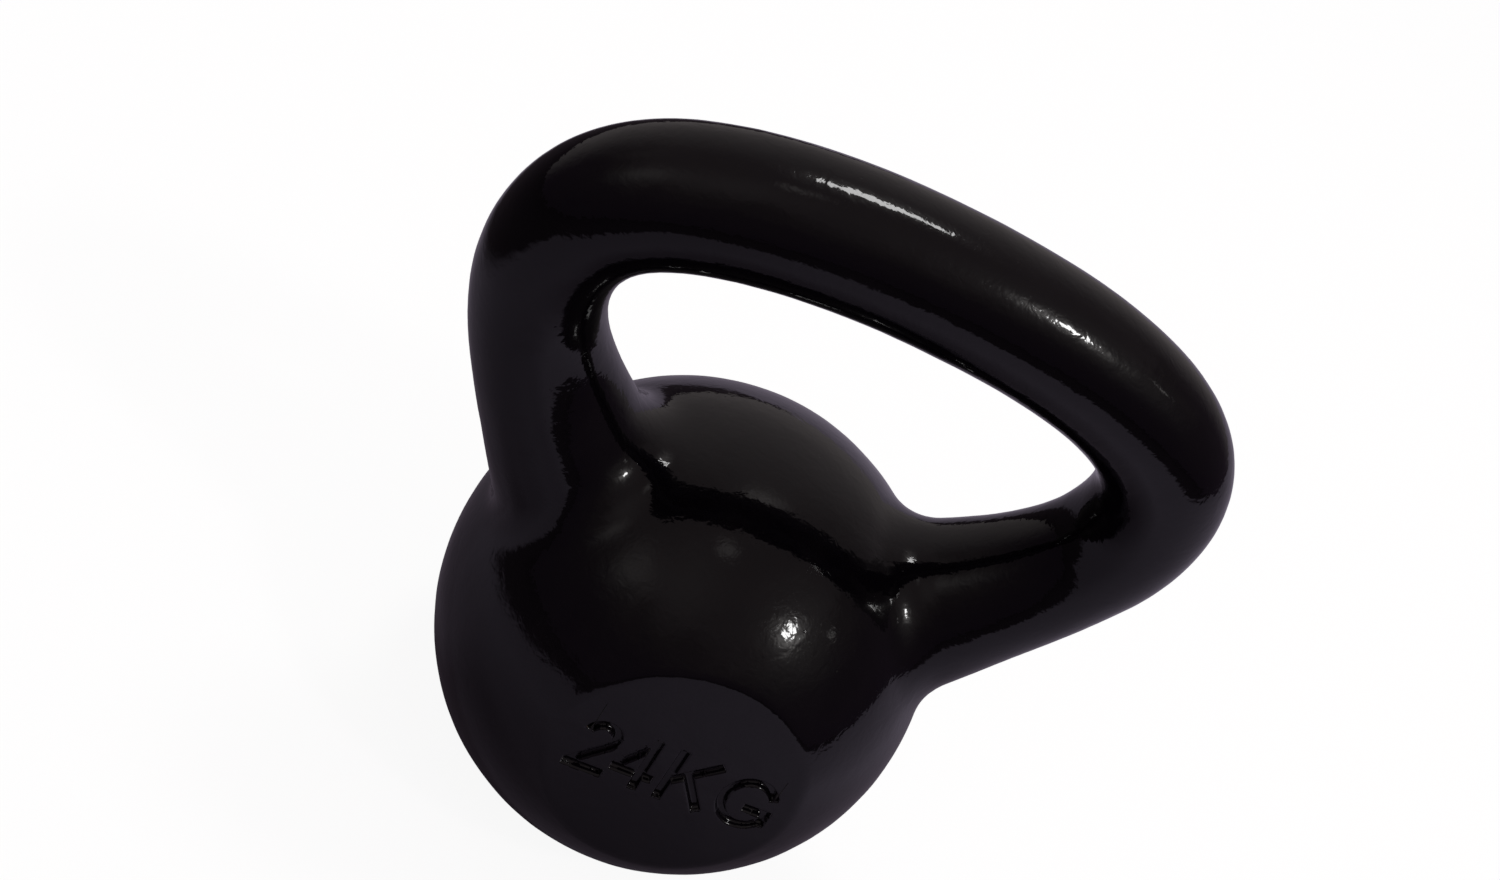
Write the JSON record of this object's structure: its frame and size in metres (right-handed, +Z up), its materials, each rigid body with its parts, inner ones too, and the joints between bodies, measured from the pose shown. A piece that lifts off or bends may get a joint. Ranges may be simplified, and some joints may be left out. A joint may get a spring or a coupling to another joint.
{
  "type": "kettlebell",
  "caption": "Gloss black enamelled iron kettlebell: round ball with a marked front flat, thick flared horns and a wide bowed grip bar.",
  "frame": {"origin": "centre of the ground base face, where the kettlebell stands", "axes": "+Z up through the middle of the grip, +X along the grip, -Y towards the front flat with the weight mark"},
  "size_m": [0.2442, 0.1715, 0.2699],
  "materials": {
    "iron": "satin",
    "weld": "satin",
    "ballast": "matte",
    "plug_steel": "satin",
    "black_enamel": "gloss"
  },
  "bodies": {
    "root": {"bell": "iron", "handle": "iron", "root_weld_left": "weld", "root_weld_right": "weld", "ballast_charge": "ballast", "base_plug": "plug_steel", "enamel_coat": "black_enamel"}
  },
  "joints": []
}
